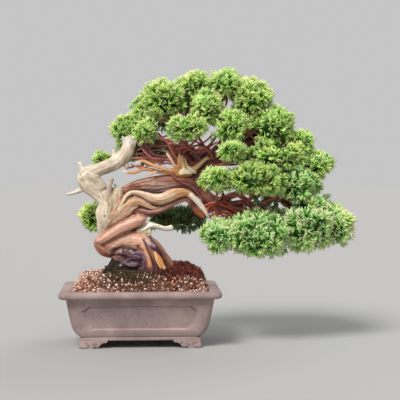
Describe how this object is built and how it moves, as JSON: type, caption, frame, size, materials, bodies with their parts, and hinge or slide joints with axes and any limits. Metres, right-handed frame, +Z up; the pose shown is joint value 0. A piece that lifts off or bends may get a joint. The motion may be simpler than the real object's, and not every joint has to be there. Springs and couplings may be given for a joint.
{
  "type": "bonsai juniper in pot",
  "caption": "Shimpaku juniper bonsai with coiled live trunk, bleached deadwood and right-leaning crown of scale-leaf pads in a footed rectangular clay pot.",
  "frame": {"origin": "bottom centre of the bounding box, on the surface that the pot's feet stand on", "axes": "+X to the right, the way the crown leans, +Y away from the viewing front, +Z up"},
  "size_m": [0.4386, 0.179, 0.4055],
  "materials": {
    "clay": "unglazed, matt, fine speckle",
    "grit": "loose mineral grit",
    "screen": "plain moulded mesh",
    "bark": "peeled living bark, low sheen",
    "bleached_wood": "dry, bleached, fine grain",
    "honey_wood": "dry, torn, honey coloured",
    "heartwood": "oiled",
    "foliage": "dense scale leaves on cord-like shoots"
  },
  "bodies": {
    "root": {"pot": "clay", "soil": "grit", "drain_screen_left": "screen", "drain_screen_right": "screen", "live_wood": "bark", "deadwood": "bleached_wood", "crown_jin": "honey_wood", "stub_jin": "bleached_wood", "heartwood_splinter": "heartwood", "foliage_left_shoulder": "foliage", "foliage_left_front": "foliage", "foliage_crown_left": "foliage", "foliage_apex_left": "foliage", "foliage_upper_middle": "foliage", "foliage_apex_right": "foliage", "foliage_upper_right": "foliage", "foliage_centre": "foliage", "foliage_centre_right": "foliage", "foliage_right_shoulder": "foliage", "foliage_outer_right": "foliage", "foliage_right_end": "foliage", "foliage_inner": "foliage", "foliage_inner_right": "foliage", "foliage_middle_left": "foliage", "foliage_middle": "foliage", "foliage_middle_right": "foliage", "foliage_low_left": "foliage", "foliage_low_middle": "foliage", "foliage_low_right": "foliage", "foliage_low_right_end": "foliage", "foliage_back_left_small": "foliage", "foliage_back_left_low": "foliage", "foliage_back_low": "foliage", "foliage_back_middle": "foliage", "foliage_back_crown": "foliage", "foliage_back_right": "foliage", "foliage_back_low_right": "foliage", "foliage_back_top_left": "foliage", "foliage_back_far_right": "foliage"}
  },
  "joints": []
}
